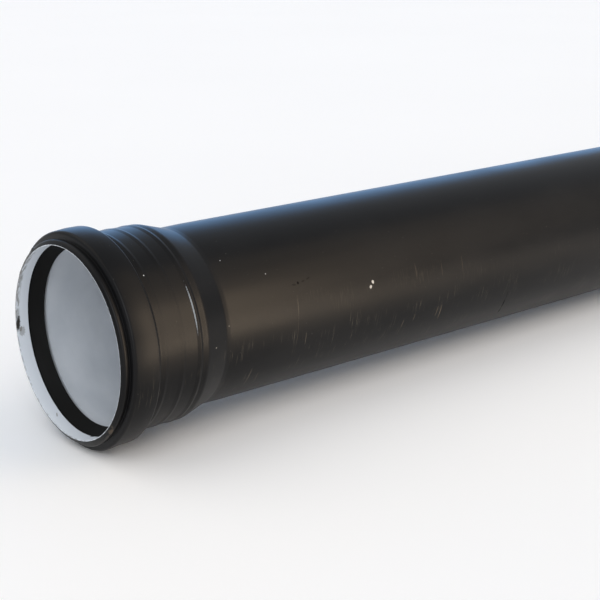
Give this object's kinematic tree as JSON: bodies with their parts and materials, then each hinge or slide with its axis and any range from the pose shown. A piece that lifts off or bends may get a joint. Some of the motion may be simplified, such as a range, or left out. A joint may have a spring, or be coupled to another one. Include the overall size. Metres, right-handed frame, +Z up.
{
  "type": "polypropylene drain pipe",
  "caption": "Round plastic drain pipe with a push-fit socket at one end: a beaded mouth with a rubber lip seal, a ribbed barrel, a taper to the plain pipe and a bevelled plain end.",
  "frame": {"origin": "on the floor under the middle of the pipe's whole length", "axes": "+X along the pipe from the socket's mouth to the plain end, +Z up"},
  "size_m": [1.057, 0.1288, 0.1287],
  "materials": {
    "pipe": "near-black extruded polypropylene, satin, with a light grey inner layer",
    "seal_ring": "black moulded rubber, matt"
  },
  "bodies": {
    "root": {"pipe": "pipe", "seal_ring": "seal_ring"}
  },
  "joints": []
}
